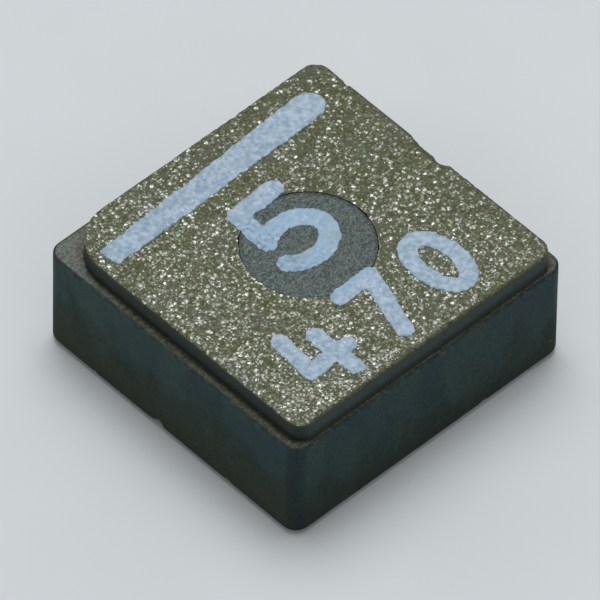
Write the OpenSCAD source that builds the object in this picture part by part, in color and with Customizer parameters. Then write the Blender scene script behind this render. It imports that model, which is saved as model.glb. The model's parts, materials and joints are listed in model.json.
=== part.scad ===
// Shielded surface-mount power inductor.
// A T-shaped core carries an edge-wound flat copper strip. Magnetic composite is
// pressed round both, two plated terminals close the underside, and an ink bar
// marks the start of the winding. Millimetres, +Z up, origin at the centre of the
// seating plane, bar along +Y.

/* [Body] */
// Length of the pressed body along X
body_x = 4.20; // [4.1:0.05:4.6]
// Length of the pressed body along Y
body_y = 4.15; // [4.1:0.05:4.6]
// Radius of the body's upright corners
body_corner_r = 0.20; // [0.12:0.02:0.3]
// Chamfer round the foot of the body
foot_chamfer = 0.06; // [0.03:0.01:0.1]
// Edge break on the outer rim of the shoulder
shoulder_break = 0.03; // [0.01:0.01:0.05]
// Height of the body's underside above the board
stand_off = 0.04; // [0.02:0.01:0.06]
// Composite over the winding
roof = 0.365; // [0.3:0.005:0.5]

/* [Crown] */
// Height of the crown above the shoulder
crown_h = 0.29; // [0.1:0.01:0.34]
// Width of the shoulder beside the crown along X
shoulder_x = 0.115; // [0.06:0.005:0.16]
// Mean width of the shoulder beside the crown along Y
shoulder_y = 0.10; // [0.07:0.005:0.14]
// How far the crown sits off centre along Y
crown_shift_y = -0.04; // [-0.05:0.01:0.05]
// Radius of the crown's three small corners
crown_corner_r = 0.20; // [0.12:0.02:0.3]
// Radius of the crown's keyed corner, at the left end of the bar
key_corner_r = 0.62; // [0.4:0.02:0.8]
// Depth of the worn notch in the crown's +X edge
wear_depth = 0.065; // [0.02:0.005:0.08]

/* [Core] */
// Diameter of the core's round post
post_d = 1.58; // [1.4:0.02:1.7]
// Thickness of the core's square flange
flange_t = 0.34; // [0.26:0.02:0.5]
// Flange beyond the leads
flange_margin = 0.10; // [0.06:0.01:0.12]
// Radius of the flange's corners
flange_corner_r = 0.25; // [0.1:0.05:0.4]
// How far the core and its winding sit off the body's centre along X
core_shift_x = -0.02; // [-0.04:0.01:0.04]
// How far the core and its winding sit off the body's centre along Y
core_shift_y = -0.06; // [-0.06:0.01:0.06]

/* [Winding] */
// Width of the flat strip, across the winding
strip_w = 0.52; // [0.4:0.02:0.56]
// Thickness of the flat strip, along the winding
strip_t = 0.115; // [0.08:0.005:0.14]
// Bare gap between one turn and the next
turn_gap = 0.03; // [0.025:0.005:0.05]
// Turns on the post
turns = 6; // [3:1:7]
// Bend radius of the leads at the middle of the strip
bend_r = 0.11; // [0.09:0.01:0.12]
// Gap between the turns and the lead that comes down beside them
lead_gap = 0.04; // [0.02:0.01:0.05]
// Length of the lead's foot on the terminal, past the upright lead
foot_len = 0.26; // [0.2:0.02:0.3]

/* [Terminals] */
// Length of each terminal along X
terminal_x = 3.50; // [3.4:0.05:3.7]
// Width of each terminal along Y
terminal_y = 0.98; // [0.9:0.02:1.1]
// Thickness of the terminal sheet
terminal_t = 0.10; // [0.08:0.01:0.12]
// Body left outside the terminal's outer edge
terminal_edge = 0.075; // [0.05:0.005:0.1]
// Width of the ears that anchor a terminal in the body
ear_w = 0.50; // [0.3:0.05:0.7]
// Height of those ears above the terminal sheet
ear_h = 0.30; // [0.2:0.02:0.4]
// Reach of the solder fillet past the toe of a lead
solder_reach = 0.10; // [0.06:0.02:0.14]

/* [Ink bar] */
// Length of the bar
bar_len = 3.43; // [3.0:0.01:3.5]
// Width of the bar at its square left end
bar_w_left = 0.29; // [0.2:0.01:0.4]
// Width of the bar at its round right end
bar_w_right = 0.40; // [0.2:0.01:0.45]
// Lean of the bar from the X axis, in degrees
bar_lean = 2.5; // [0:0.1:3]
// Bare crown beyond the bar's left end
bar_end_margin = 0.16; // [0.1:0.01:0.25]
// Distance from the crown's +Y edge to the middle of the bar
bar_edge_margin = 0.54; // [0.4:0.01:0.7]
// Thickness of the printed ink
ink_t = 0.015; // [0.01:0.005:0.03]

/* [Hidden] */

// Clearance at every moulded seam, and over the top of the winding
seam = 0.01;
// Clearance between the post and the inside of the turns
post_gap = 0.035;
// Overlap of a cut past the face that it opens
cut = 0.05;

// Heights of the stack, from the board up
flange_top = stand_off + flange_t;
turn_pitch = strip_t + turn_gap;
first_turn_z = flange_top + seam + strip_t / 2;
last_turn_z = first_turn_z + turns * turn_pitch;
chamber_top = last_turn_z + strip_t / 2 + 3 * seam;
crown_top = chamber_top + roof;
shoulder_z = crown_top - crown_h;

// Plan sizes of the winding and of what follows it
post_r = post_d / 2;
turn_in_r = post_r + post_gap;
turn_mid_r = turn_in_r + strip_w / 2;
turn_out_r = turn_in_r + strip_w;
chamber_r = turn_out_r + 2 * seam;
lead_y = turn_out_r + lead_gap + strip_t / 2;
flange_half = lead_y + flange_margin;

// Thickness of the solder where it runs out on the sheet
solder_lip = 0.01;

// The lead's foot lies on the terminal sheet
foot_z = terminal_t + strip_t / 2;
foot_tip_y = lead_y + foot_len;
lead_slot_w = strip_w + 4 * seam;
lead_slot_t = strip_t + 4 * seam;
solder_toe_y = foot_tip_y + solder_reach;

// Crown outline
crown_x = body_x - 2 * shoulder_x;
crown_y = body_y - 2 * shoulder_y;

// Middle of the bar
bar_mid_x = -crown_x / 2 + bar_end_margin + bar_len / 2;
bar_mid_y = crown_shift_y + crown_y / 2 - bar_edge_margin;

// Terminal seats
terminal_out_y = body_y / 2 - terminal_edge;
terminal_mid_y = terminal_out_y - terminal_y / 2;
terminal_corner_r = 0.08;

// The worn notch is two shallow hollows that run into each other. Each is its place
// along the crown's edge, its length, and its share of the full depth.
worn_hollows = [[0.08, 0.62, 0.7], [-0.10, 0.28, 1]];

$fn = 64;

// ---------------------------------------------------------------- helpers

// A block with round upright corners whose wall follows a profile of
// [inset, height] pairs, listed from the foot up.
module profiled_block(len_x, len_y, r, profile) {
    foot = profile[0][1];
    head = profile[len(profile) - 1][1];
    module wall_section(half) {
        polygon(concat(
            [for (p = profile) [half - p[0], p[1]]],
            [for (i = [len(profile) - 1:-1:0]) [-half + profile[i][0], profile[i][1]]]));
    }
    rotate([90, 0, 0])
        linear_extrude(height = len_y - 2 * r, center = true) wall_section(len_x / 2);
    rotate([90, 0, 90])
        linear_extrude(height = len_x - 2 * r, center = true) wall_section(len_y / 2);
    for (sx = [-1, 1], sy = [-1, 1])
        translate([sx * (len_x / 2 - r), sy * (len_y / 2 - r), 0])
            rotate_extrude()
                polygon(concat([[0, foot]], [for (p = profile) [r - p[0], p[1]]], [[0, head]]));
}

// A flat rectangle with round corners.
module round_rect(len_x, len_y, r) {
    square([len_x - 2 * r, len_y], center = true);
    square([len_x, len_y - 2 * r], center = true);
    for (sx = [-1, 1], sy = [-1, 1])
        translate([sx * (len_x / 2 - r), sy * (len_y / 2 - r)]) circle(r);
}

// A box from two opposite corners.
module box_between(low, high) {
    translate(low) cube(high - low);
}

// Places what belongs to the core, which the press leaves a little off centre.
module on_core() {
    translate([core_shift_x, core_shift_y, 0]) children();
}

// ---------------------------------------------------------------- moulded body

// The crown's outline: three small corners, one large, and a worn +X edge.
module crown_outline() {
    difference() {
        round_rect(crown_x, crown_y, crown_corner_r);
        translate([-crown_x / 2, crown_y / 2]) difference() {
            translate([-cut, -key_corner_r]) square(key_corner_r + cut);
            translate([key_corner_r, -key_corner_r]) circle(key_corner_r);
        }
        for (hollow = worn_hollows)
            shallow_hollow(crown_x / 2, hollow[0], hollow[1], wear_depth * hollow[2]);
    }
}

// A round cutter that leaves a hollow of the given length and depth in an edge that
// runs along Y at x = edge.
module shallow_hollow(edge, at_y, length, depth) {
    r = (length * length / 4 + depth * depth) / (2 * depth);
    translate([edge + r - depth, at_y]) circle(r, $fn = 128);
}

// Space taken by one lead: its run at the given height, the upright part beside
// the turns, and the foot and solder on the terminal. side is -1 or 1 along Y.
module lead_space(side, run_z) {
    half_w = lead_slot_w / 2;
    half_t = lead_slot_t / 2;
    near = [turn_mid_r - half_w, 0, 0];
    mirror([0, side < 0 ? 1 : 0, 0]) {
        box_between(near + [0, 0, run_z - half_t],
                    [turn_mid_r + half_w, lead_y + half_t, run_z + half_t]);
        box_between(near + [0, lead_y - bend_r - half_t, stand_off - cut],
                    [turn_mid_r + half_w, lead_y + half_t, run_z + half_t]);
        box_between(near + [0, lead_y - half_t, terminal_t],
                    [turn_mid_r + half_w, solder_toe_y + seam, foot_z + half_t]);
    }
}

// Seat of one terminal: the sheet and its two ears, with the seam's clearance.
module terminal_seat(side) {
    translate([0, side * terminal_mid_y, 0]) {
        translate([0, 0, -cut]) linear_extrude(height = terminal_t + cut)
            round_rect(terminal_x + 2 * seam, terminal_y + 2 * seam, terminal_corner_r + seam);
        for (sx = [-1, 1])
            translate([sx * (terminal_x - terminal_t) / 2, 0, terminal_t + ear_h / 2])
                cube([terminal_t + 2 * seam, ear_w + 2 * seam, ear_h + 2 * seam], center = true);
    }
}

// Space taken by the core and its winding, open to the underside and the crown.
module insert_space() {
    translate([0, 0, stand_off]) cylinder(r = post_r + seam, h = crown_top);
    translate([0, 0, flange_top - cut])
        cylinder(r = chamber_r, h = chamber_top - flange_top + cut, $fn = 96);
    translate([0, 0, stand_off - cut]) linear_extrude(height = flange_t + cut)
        round_rect(2 * (flange_half + seam), 2 * (flange_half + seam), flange_corner_r + seam);
    lead_space(-1, first_turn_z);
    lead_space(1, last_turn_z);
}

module moulded_body() {
    color("darkolivegreen") difference() {
        union() {
            profiled_block(body_x, body_y, body_corner_r,
                [[foot_chamfer, stand_off], [0, stand_off + foot_chamfer],
                 [0, shoulder_z - shoulder_break], [shoulder_break, shoulder_z]]);
            translate([0, crown_shift_y, shoulder_z - cut])
                linear_extrude(height = crown_h + cut) crown_outline();
        }
        on_core() insert_space();
        for (side = [-1, 1]) terminal_seat(side);
    }
}

// ---------------------------------------------------------------- T core

// Slot in the flange's edge that one lead comes down through.
module flange_slot(side) {
    mirror([0, side < 0 ? 1 : 0, 0])
        box_between([turn_mid_r - lead_slot_w / 2, lead_y - bend_r - lead_slot_t / 2,
                     stand_off - cut],
                    [turn_mid_r + lead_slot_w / 2, flange_half + cut, flange_top + cut]);
}

module t_core() {
    color("dimgray") difference() {
        on_core() translate([0, 0, stand_off]) {
            linear_extrude(height = flange_t)
                round_rect(2 * flange_half, 2 * flange_half, flange_corner_r);
            cylinder(r = post_r, h = crown_top - stand_off);
        }
        for (side = [-1, 1]) {
            on_core() flange_slot(side);
            terminal_seat(side);
        }
    }
}

// ---------------------------------------------------------------- winding

// The strip's path is a list of stations [point, heading, across]. Heading is the
// way the strip runs and across is the direction of its width.
turn_steps = 36;
bend_steps = 5;

// Stations of a lead that keeps to the plane x = turn_mid_r. pitch_from and pitch_to
// are the strip's slopes before and after a bend, and centre is the bend's centre.
function bend(centre, pitch_from, pitch_to) = [
    for (i = [0:bend_steps])
        let (a = pitch_from + (pitch_to - pitch_from) * i / bend_steps,
             turn = sign(pitch_to - pitch_from))
        [[turn_mid_r, centre[0] + turn * bend_r * sin(a), centre[1] - turn * bend_r * cos(a)],
         [0, cos(a), sin(a)],
         [1, 0, 0]]];

function straight_end(y, z) = [[[turn_mid_r, y, z], [0, 1, 0], [1, 0, 0]]];

start_lead = concat(
    straight_end(-foot_tip_y, foot_z),
    bend([-lead_y - bend_r, foot_z + bend_r], 0, 90),
    bend([-lead_y + bend_r, first_turn_z - bend_r], 90, 0));

coil = [
    for (i = [0:turns * turn_steps])
        let (a = 360 * i / turn_steps)
        [[turn_mid_r * cos(a), turn_mid_r * sin(a),
          first_turn_z + turn_pitch * i / turn_steps],
         [-sin(a), cos(a), 0],
         [cos(a), sin(a), 0]]];

finish_lead = concat(
    bend([lead_y - bend_r, last_turn_z - bend_r], 0, -90),
    bend([lead_y + bend_r, foot_z + bend_r], -90, 0),
    straight_end(foot_tip_y, foot_z));

// The strip's section has its corners taken off, as rolled wire has.
strip_corner = 0.03;
strip_section = let (w = strip_w / 2, t = strip_t / 2, c = strip_corner) [
    [w - c, -t], [w, -t + c], [w, t - c], [w - c, t],
    [-w + c, t], [-w, t - c], [-w, -t + c], [-w + c, -t]];

// Sweeps a section along stations. The section's first coordinate runs across the
// strip, and its second along the strip's own normal.
module sweep(stations, section) {
    m = len(section);
    n = len(stations);
    points = [
        for (s = stations, p = section)
            s[0] + p[0] * s[2] + p[1] * cross(s[2], s[1])];
    sides = [
        for (i = [0:n - 2], j = [0:m - 1])
            let (k = (j + 1) % m)
            [i * m + j, i * m + k, (i + 1) * m + k, (i + 1) * m + j]];
    first_cap = [for (j = [m - 1:-1:0]) j];
    last_cap = [for (j = [0:m - 1]) (n - 1) * m + j];
    polyhedron(points, concat([first_cap], sides, [last_cap]), convexity = 10);
}

module winding() {
    color("peru") on_core() sweep(concat(start_lead, coil, finish_lead), strip_section);
}

// ---------------------------------------------------------------- terminals

// A terminal sheet with an ear bent up at each end. side is -1 or 1 along Y.
module terminal(side) {
    color("silver") translate([0, side * terminal_mid_y, 0]) {
        linear_extrude(height = terminal_t)
            round_rect(terminal_x, terminal_y, terminal_corner_r);
        for (sx = [-1, 1])
            translate([sx * (terminal_x - terminal_t) / 2, 0, (terminal_t + ear_h) / 2])
                cube([terminal_t, ear_w, terminal_t + ear_h], center = true);
    }
}

module terminal_start() { terminal(-1); }
module terminal_finish() { terminal(1); }

// Solder at the toe of a lead: a fillet with a hollow face, from the end of the strip
// down to the terminal sheet. side is -1 or 1 along Y.
module solder(side) {
    fillet_h = strip_t - strip_corner;
    fillet_steps = 8;
    fillet_face = [
        for (i = [0:fillet_steps])
            let (t = i / fillet_steps)
            [solder_reach * t, solder_lip + (fillet_h - solder_lip) * (1 - t) * (1 - t)]];
    color("lightgray") on_core() mirror([0, side < 0 ? 1 : 0, 0])
        translate([turn_mid_r - strip_w / 2, foot_tip_y, terminal_t])
            rotate([90, 0, 90]) linear_extrude(height = strip_w)
                polygon(concat([[solder_reach, 0], [0, 0]], fillet_face));
}

module solder_start() { solder(-1); }
module solder_finish() { solder(1); }

// ---------------------------------------------------------------- ink

// The bar that marks the start of the winding: square left end, round right end.
module start_bar() {
    round_r = bar_w_right / 2;
    round_x = bar_len / 2 - round_r;
    color("lightsteelblue")
        translate([bar_mid_x, bar_mid_y, crown_top]) rotate([0, 0, bar_lean])
            linear_extrude(height = ink_t) {
                polygon([[-bar_len / 2, -bar_w_left / 2], [round_x, -round_r],
                         [round_x, round_r], [-bar_len / 2, bar_w_left / 2]]);
                translate([round_x, 0]) circle(round_r);
            }
}

// ---------------------------------------------------------------- output

moulded_body();
t_core();
winding();
terminal_start();
terminal_finish();
solder_start();
solder_finish();
start_bar();
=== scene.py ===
# %% [markdown]
# # A shielded power inductor, 4 mm square
#
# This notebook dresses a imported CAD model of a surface-mount inductor. On the real
# part, iron powder and resin are pressed round a T-shaped core and its coil, and the
# top is then ground flat, so that cut grains of iron glitter in a dull olive binder.
# The sides keep the smooth dark skin that the press gave them. Ink marks are printed
# on the ground face.
#
# The CAD model stays the reference for every size. It could be shown as it is, but its
# arcs are coarse and its faces are perfect, and at this scale the grain of the surface
# is as large as the printed strokes are wide. So the visible pieces are rebuilt here as
# finer meshes that fill the same space.

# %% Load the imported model
import json
import math

import bpy
import numpy as np
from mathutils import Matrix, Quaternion, Vector
from mathutils.geometry import delaunay_2d_cdt

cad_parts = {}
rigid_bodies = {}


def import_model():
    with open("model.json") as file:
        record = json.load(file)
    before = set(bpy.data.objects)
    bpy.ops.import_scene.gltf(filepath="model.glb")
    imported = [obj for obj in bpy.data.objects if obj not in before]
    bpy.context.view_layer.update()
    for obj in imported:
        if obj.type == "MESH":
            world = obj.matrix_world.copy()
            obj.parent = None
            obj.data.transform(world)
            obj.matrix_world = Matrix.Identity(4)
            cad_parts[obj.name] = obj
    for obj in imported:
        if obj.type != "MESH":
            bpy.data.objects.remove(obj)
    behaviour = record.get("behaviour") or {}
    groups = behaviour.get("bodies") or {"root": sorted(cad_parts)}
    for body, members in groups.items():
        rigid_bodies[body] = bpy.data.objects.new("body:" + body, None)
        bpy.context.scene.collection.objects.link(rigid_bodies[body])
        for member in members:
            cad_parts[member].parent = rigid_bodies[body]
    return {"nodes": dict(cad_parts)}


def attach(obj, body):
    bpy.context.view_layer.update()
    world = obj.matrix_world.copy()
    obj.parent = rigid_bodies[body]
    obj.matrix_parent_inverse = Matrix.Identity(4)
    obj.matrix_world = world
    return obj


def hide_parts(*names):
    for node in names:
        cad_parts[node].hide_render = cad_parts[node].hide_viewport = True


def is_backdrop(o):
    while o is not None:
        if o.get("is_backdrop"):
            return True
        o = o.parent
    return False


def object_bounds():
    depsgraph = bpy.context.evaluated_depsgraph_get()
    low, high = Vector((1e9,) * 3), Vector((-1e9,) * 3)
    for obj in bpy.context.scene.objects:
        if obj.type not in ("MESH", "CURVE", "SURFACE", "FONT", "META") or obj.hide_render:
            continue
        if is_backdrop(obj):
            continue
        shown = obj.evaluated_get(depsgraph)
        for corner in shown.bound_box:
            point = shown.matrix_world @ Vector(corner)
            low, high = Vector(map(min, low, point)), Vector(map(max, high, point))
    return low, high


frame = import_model()
cad_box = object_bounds()

MM = 0.001
print("nodes:", ", ".join(sorted(frame["nodes"])))

# %% [markdown]
# ## Measure the CAD model
#
# Everything below works in millimetres. The main sizes are read from the CAD meshes:
# the crown is what reaches the top of the body, and the shoulder is the highest place
# outside the crown. Radii and small features that a coarse mesh can't give exactly are
# named beside them.

# %% Sizes read from the CAD meshes
def node_points(name):
    """A CAD node's corners, in millimetres."""
    mesh = frame["nodes"][name].data
    flat = np.empty(len(mesh.vertices) * 3)
    mesh.vertices.foreach_get("co", flat)
    return flat.reshape(-1, 3) / MM


def box_of(points):
    """The lowest and the highest corner of a set of points."""
    return points.min(axis=0), points.max(axis=0)


body_points = node_points("moulded_body")
core_points = node_points("t_core")
BODY_LOW, BODY_HIGH = box_of(body_points)
TOP_Z = BODY_HIGH[2]
FOOT_Z = BODY_LOW[2]
HAIR = 0.001

CROWN_LOW, CROWN_HIGH = box_of(body_points[body_points[:, 2] > TOP_Z - HAIR])
outside_crown = body_points[:, 0] > CROWN_HIGH[0] + HAIR
SHOULDER_Z = body_points[outside_crown, 2].max()
CORE_LOW, CORE_HIGH = box_of(core_points)
CORE_MID = (CORE_LOW[:2] + CORE_HIGH[:2]) / 2
post_end = core_points[core_points[:, 2] > TOP_Z - HAIR, :2]
POST_R = np.linalg.norm(post_end - CORE_MID, axis=1).max()
FLANGE_HALF = CORE_HIGH[0] - CORE_MID[0]
FLANGE_TOP = core_points[core_points[:, 0] > CORE_HIGH[0] - HAIR, 2].max()
SEAM = 0.01

print(f"body {BODY_HIGH[0] * 2:.2f} x {BODY_HIGH[1] * 2:.2f} mm, top at {TOP_Z:.3f}")
print(f"crown {CROWN_LOW[:2]} to {CROWN_HIGH[:2]}, shoulder at {SHOULDER_Z:.3f}")
print(f"post radius {POST_R:.3f} at {CORE_MID}, flange half {FLANGE_HALF:.3f}")

# %% Small features of the pressed body
CORNER_R = 0.20
KEY_CORNER_R = 0.62
FOOT_CHAMFER = 0.06
SHOULDER_BREAK = 0.03

# The worn notch in the crown's +X edge: two shallow hollows, each with its place along
# Y, its length and its depth.
CROWN_MID_Y = (CROWN_LOW[1] + CROWN_HIGH[1]) / 2
WORN_HOLLOWS = (
    (CROWN_MID_Y + 0.08, 0.62, 0.045),
    (CROWN_MID_Y - 0.10, 0.28, 0.065),
)

# %% [markdown]
# ## Noise for shapes
#
# Pressed powder is never quite flat. The shapes need a soft noise that can be worked
# out for a whole array of points at once and gives the same values on every run. A
# lattice of fixed random numbers does both: each point blends the eight numbers at the
# corners of its cell.

# %% Lattice noise
TABLE_SIZE = 1 << 14
HASH_PRIMES = np.array([73856093, 19349663, 83492791])


def hashed(cells, seed):
    """A fixed random number from -1 to 1 for each row of whole numbers."""
    table = np.random.default_rng(seed).uniform(-1, 1, TABLE_SIZE)
    mixed = np.bitwise_xor.reduce(cells.astype(np.int64) * HASH_PRIMES, axis=-1)
    return table[mixed & (TABLE_SIZE - 1)]


def noise(points, cell, seed):
    """Soft noise from -1 to 1 at each point, with features about one cell across."""
    scaled = np.asarray(points) / cell
    corner = np.floor(scaled)
    blend = scaled - corner
    blend = blend * blend * (3 - 2 * blend)
    total = np.zeros(len(scaled))
    for step in np.ndindex(2, 2, 2):
        offset = np.array(step)
        weight = np.prod(np.where(offset, blend, 1 - blend), axis=1)
        total += weight * hashed(corner + offset, seed)
    return total


def flat_noise(points_2d, cell, seed):
    """The same noise, for points in the plane."""
    points_2d = np.asarray(points_2d)
    return noise(np.column_stack([points_2d, np.zeros(len(points_2d))]), cell, seed)


sample = noise(np.random.default_rng(1).uniform(0, 5, (1000, 3)), 0.1, 3)
print(f"noise runs from {sample.min():.2f} to {sample.max():.2f}")

# %% [markdown]
# ## Outlines and lofts
#
# Every wall of the body follows a rectangle with round corners. If each such outline
# has the same number of points in each corner and on each side, any two of them can be
# joined by a strip of quads, and so can outlines of different size or corner radius.
# That is a loft, and it gives even quads whose spacing is known.

# %% Rounded rectangles with matching points
CORNERS = ((1, 1, 0), (-1, 1, 90), (-1, -1, 180), (1, -1, 270))
ARC_STEPS = (12, 40, 12, 12)
SIDE_STEPS = 150


def rounded_outline(low, high, radii):
    """Points round a rectangle, from its +X +Y corner on, with one radius a corner."""
    arcs = []
    for (side_x, side_y, start), radius, steps in zip(CORNERS, radii, ARC_STEPS):
        hub_x = (high[0] - radius) if side_x > 0 else (low[0] + radius)
        hub_y = (high[1] - radius) if side_y > 0 else (low[1] + radius)
        angles = np.radians(np.linspace(start, start + 90, steps + 1))
        arcs.append(np.column_stack([
            hub_x + radius * np.cos(angles),
            hub_y + radius * np.sin(angles),
        ]))
    parts = []
    for arc, following in zip(arcs, arcs[1:] + arcs[:1]):
        parts.append(arc)
        parts.append(np.linspace(arc[-1], following[0], SIDE_STEPS + 1)[1:-1])
    return np.vstack(parts)


def outward(outline):
    """The unit normal of an outline at each of its points, pointing out of it."""
    along = np.roll(outline, -1, axis=0) - np.roll(outline, 1, axis=0)
    along /= np.linalg.norm(along, axis=1)[:, None]
    return np.column_stack([along[:, 1], -along[:, 0]])


def body_outline(inset=0.0):
    """The body's wall, moved in by an inset."""
    radii = [CORNER_R - inset] * 4
    return rounded_outline(BODY_LOW[:2] + inset, BODY_HIGH[:2] - inset, radii)


def worn_back(y):
    """How far the crown's +X edge has worn back at each y."""
    depth = np.zeros_like(y)
    for middle, length, deepest in WORN_HOLLOWS:
        across = (y - middle) / (length / 2)
        depth = np.maximum(depth, deepest * (1 - across * across))
    return depth


def crown_outline():
    """The crown's wall, with its large corner and its worn edge."""
    radii = [CORNER_R, KEY_CORNER_R, CORNER_R, CORNER_R]
    outline = rounded_outline(CROWN_LOW[:2], CROWN_HIGH[:2], radii)
    on_edge = outline[:, 0] > CROWN_HIGH[0] - HAIR
    outline[on_edge, 0] -= worn_back(outline[on_edge, 1])
    return outline


AROUND = len(body_outline())
spacing = np.linalg.norm(np.diff(crown_outline(), axis=0), axis=1)
print(f"{AROUND} points round the body, {spacing.min():.3f} to {spacing.max():.3f} mm apart")

# %% Rows of points joined into a skin
def ring(outline, height):
    """An outline as points in space."""
    return np.column_stack([outline, np.full(len(outline), height)])


def strip_faces(first_row, second_row, count):
    """Quads between two rows that run round, each given by its first point's number."""
    here = np.arange(count)
    following = (here + 1) % count
    return np.column_stack([
        first_row + here,
        first_row + following,
        second_row + following,
        second_row + here,
    ])


def arc_rows(inset_from, inset_to, z_from, z_to, steps, wall_first):
    """Insets and heights along a quarter round between a wall and a level face."""
    rows = []
    for angle in np.radians(np.linspace(0, 90, steps + 1)):
        turned = (1 - math.cos(angle), math.sin(angle))
        if not wall_first:
            turned = (math.sin(angle), 1 - math.cos(angle))
        rows.append((
            inset_from + (inset_to - inset_from) * turned[0],
            z_from + (z_to - z_from) * turned[1],
        ))
    return rows


# %% [markdown]
# ## The body's wall
#
# The wall starts at the underside, rounds the foot, climbs the side, breaks over the
# rim of the shoulder, crosses the shoulder and climbs the crown. A bevelled box could
# give these forms, but not a crown that sits off centre with one large corner. Rows
# that each name their outline and height can.

# %% Rows of the wall
SIDE_ROWS = 30
SHOULDER_ROWS = 7
CROWN_ROWS = 9
GROOVE_DEPTH = 0.010
GROOVE_SHARE = 0.25
CROWN_BREAK = 0.018
BREAK_SHARES = (0.0, 0.3, 1.0)

foot_rows = arc_rows(FOOT_CHAMFER, 0, FOOT_Z, FOOT_Z + FOOT_CHAMFER, 5, False)
rim_rows = arc_rows(0, SHOULDER_BREAK, SHOULDER_Z - SHOULDER_BREAK, SHOULDER_Z, 4, True)
side_heights = np.linspace(foot_rows[-1][1], rim_rows[0][1], SIDE_ROWS + 1)[1:-1]
side_rows = [(0.0, height) for height in side_heights]


def wall_rings():
    """The rows of the wall from the underside up, and which of them is which zone."""
    rings = [ring(body_outline(inset), z) for inset, z in foot_rows + side_rows + rim_rows]
    zones = ["skin"] * len(rings)
    rim = rings[-1]
    crown = ring(crown_outline(), SHOULDER_Z)
    for share in np.linspace(0, 1, SHOULDER_ROWS + 1)[1:]:
        row = rim + (crown - rim) * share
        row[:, 2] -= GROOVE_DEPTH * max(0.0, 1 - (1 - share) / GROOVE_SHARE)
        rings.append(row)
        zones.append("shoulder")
    for height in np.linspace(SHOULDER_Z, TOP_Z - CROWN_BREAK, CROWN_ROWS + 1)[1:-1]:
        rings.append(ring(crown_outline(), height))
        zones.append("skin")
    edge = crown_outline()
    for share in BREAK_SHARES:
        inset = edge - CROWN_BREAK * share * outward(edge)
        rings.append(ring(inset, TOP_Z - CROWN_BREAK * (1 - share) ** 2))
        zones.append("edge" if share else "skin")
    return rings, zones


rings, zones = wall_rings()
print(f"{len(rings)} rows: {zones.count('skin')} skin, {zones.count('shoulder')} shoulder")

# %% [markdown]
# ## Wear on the wall
#
# Three things keep the wall from looking like plastic: a faint unevenness from the
# press, an edge round the ground face that crumbles grain by grain, and a few chips
# where the part was knocked. Each is a small push against the wall's own normal.

# %% Push the wall in and out
WAVE = (0.0020, 0.45)
PEEL = (0.0008, 0.07)
CRUMB_DEPTH = 0.016
CRUMB_REACH = 0.035
# Chips: where each is, how wide and how deep.
CHIPS = (
    ((BODY_LOW[0], 0.21, FOOT_Z + 0.02), 0.11, 0.060),
    ((BODY_LOW[0], -0.95, FOOT_Z + 0.01), 0.07, 0.025),
    ((BODY_LOW[0], 1.25, FOOT_Z + 0.01), 0.06, 0.020),
    ((0.85, BODY_LOW[1], FOOT_Z + 0.01), 0.07, 0.022),
    ((BODY_HIGH[0], 0.60, FOOT_Z + 0.02), 0.10, 0.035),
    ((-0.70, BODY_HIGH[1], FOOT_Z + 0.01), 0.09, 0.030),
    ((CROWN_LOW[0], -0.42, TOP_Z), 0.06, 0.022),
    ((0.35, CROWN_LOW[1], TOP_Z), 0.07, 0.024),
    ((-0.90, CROWN_LOW[1], TOP_Z), 0.05, 0.018),
    ((CROWN_HIGH[0], 1.42, TOP_Z), 0.07, 0.022),
    ((0.70, CROWN_HIGH[1], TOP_Z), 0.06, 0.016),
)


def bowl(distance, radius):
    """1 at the middle of a dent, easing to 0 at its rim."""
    return np.clip(1 - (distance / radius) ** 2, 0, 1) ** 2


CRUMB_SIZES = (0.035, 0.11)
CHIP_RAGGED = (0.35, 0.03)
EDGE_DROP = 0.006
WORN_WIDTH = 0.15
WORN_DROP = 0.20
SHOULDER_GRAIN = (0.0022, 0.05)
SHOULDER_SWELL = (0.003, 0.3)


def weathered(row):
    """A row of the wall after pressing, grinding and handling."""
    normal = outward(row[:, :2])
    push = WAVE[0] * noise(row, WAVE[1], 11) + PEEL[0] * noise(row, PEEL[1], 12)
    near_top = np.clip(1 - (TOP_Z - row[:, 2]) / CRUMB_REACH, 0, 1)
    edge_crumbs_and_glint_cells = noise(row, CRUMB_SIZES[0], 13) + 0.6 * noise(row, CRUMB_SIZES[1], 14)
    edge_crumbs_and_glint_cells = np.clip(edge_crumbs_and_glint_cells, 0, None)
    push -= CRUMB_DEPTH * near_top * edge_crumbs_and_glint_cells
    for place, radius, depth in CHIPS:
        rough = 1 + CHIP_RAGGED[0] * noise(row, CHIP_RAGGED[1], 15)
        push -= depth * rough * bowl(np.linalg.norm(row - place, axis=1), radius)
    row = row.copy()
    row[:, :2] += normal * push[:, None]
    row[:, 2] -= near_top * EDGE_DROP * np.clip(noise(row, 0.05, 16), 0, None)
    worn = worn_back(row[:, 1]) * (row[:, 0] > CROWN_HIGH[0] - WORN_WIDTH)
    row[:, 2] -= WORN_DROP * near_top ** 4 * worn
    return row


rings = [weathered(row) for row in rings]
for row, zone in zip(rings, zones):
    if zone == "shoulder":
        grain = SHOULDER_GRAIN[0] * noise(row, SHOULDER_GRAIN[1], 17)
        row[:, 2] += grain + SHOULDER_SWELL[0] * noise(row, SHOULDER_SWELL[1], 18)
print(f"top edge now spans x {rings[-1][:, 0].min():.3f} to {rings[-1][:, 0].max():.3f}")

# %% [markdown]
# ## The ground face
#
# Grinding cuts through thousands of iron grains, each of which ends as a tiny facet
# with a tilt of its own. Those tilts are what glitters. A height map on a regular grid
# would put the facets in rows, so the face is filled with scattered points, joined into
# triangles, and each point is moved up or down by a few micrometres. Flat shading then
# gives every triangle its own direction.

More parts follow.
